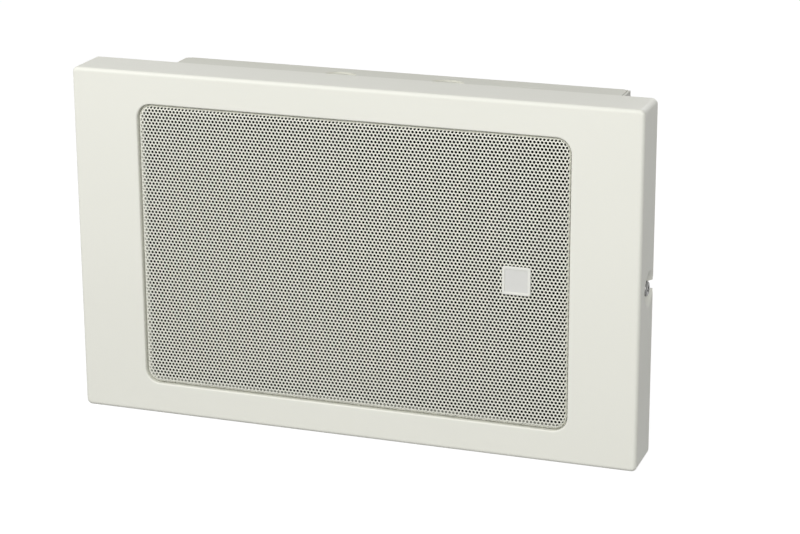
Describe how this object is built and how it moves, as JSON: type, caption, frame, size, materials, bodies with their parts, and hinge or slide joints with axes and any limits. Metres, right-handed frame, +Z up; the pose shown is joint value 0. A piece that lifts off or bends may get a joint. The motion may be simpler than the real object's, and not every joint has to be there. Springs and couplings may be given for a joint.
{
  "type": "wall loudspeaker",
  "caption": "Wall-mounted loudspeaker: a folded sheet-steel front cover with a perforated grille, held by side screws on a rear box that carries a transformer and a terminal block.",
  "frame": {"origin": "centre of the rear box's back face, which lies on the wall", "axes": "+Y into the wall, +X to the right seen from the front, +Z up; the grille faces -Y"},
  "size_m": [0.31, 0.0873, 0.19],
  "materials": {
    "front_paint": "satin powder paint, fine texture",
    "grille_paint": "satin powder paint on perforated sheet",
    "box_paint": "satin powder paint",
    "badge_metal": "satin, bare",
    "cloth": "thin open weave",
    "baffle_steel": "satin powder paint",
    "zinc": "bright zinc plate",
    "screw_steel": "bright zinc plate",
    "black_rubber": "matt",
    "basket_steel": "matt black",
    "cone_paper": "pressed paper, coated",
    "spider_cloth": "resin-treated cloth",
    "former_paper": "wound paper",
    "coil_wire": "enamelled copper wire",
    "plated_iron": "zinc plate",
    "ferrite": "ground ferrite",
    "strip_board": "laminated board",
    "tag_brass": "tinned brass",
    "core_iron": "varnished laminations",
    "bobbin_plastic": "moulded",
    "winding_tape": "polyester tape",
    "block_plastic": "moulded",
    "red_lead": "insulated stranded wire",
    "black_lead": "insulated stranded wire"
  },
  "bodies": {
    "enclosure": {"front_cover": "front_paint", "cover_studs": "zinc", "cover_nuts": "zinc", "grille": "grille_paint", "acoustic_cloth": "cloth", "badge": "badge_metal", "baffle": "baffle_steel", "box_back": "box_paint", "box_top": "box_paint", "box_bottom": "box_paint", "box_left": "box_paint", "box_right": "box_paint", "cover_bracket_left": "zinc", "cover_bracket_right": "zinc", "bracket_rivets": "zinc", "side_screw_left": "screw_steel", "side_screw_right": "screw_steel", "cable_grommet": "black_rubber", "basket": "basket_steel", "driver_gasket": "black_rubber", "driver_studs": "zinc", "driver_nuts": "zinc", "surround": "black_rubber", "spider": "spider_cloth", "top_plate": "plated_iron", "magnet": "ferrite", "yoke": "plated_iron", "tag_strip": "strip_board", "solder_tags": "tag_brass", "transformer_core": "core_iron", "transformer_bobbin": "bobbin_plastic", "transformer_winding": "winding_tape", "transformer_strap": "zinc", "box_studs": "zinc", "box_nuts": "zinc", "terminal_block": "block_plastic", "terminal_screws": "tag_brass", "input_leads": "red_lead", "output_leads": "black_lead"},
    "diaphragm": {"cone": "cone_paper", "dust_cap": "cone_paper", "coil_former": "former_paper", "voice_coil": "coil_wire"}
  },
  "joints": [
    {"name": "cone_travel", "type": "slide", "parent": "enclosure", "child": "diaphragm", "axis": [0, -1, 0], "range_m": [-0.0015, 0.0015], "stiffness_N_per_m": 2000, "deforming": ["surround", "spider"]}
  ]
}
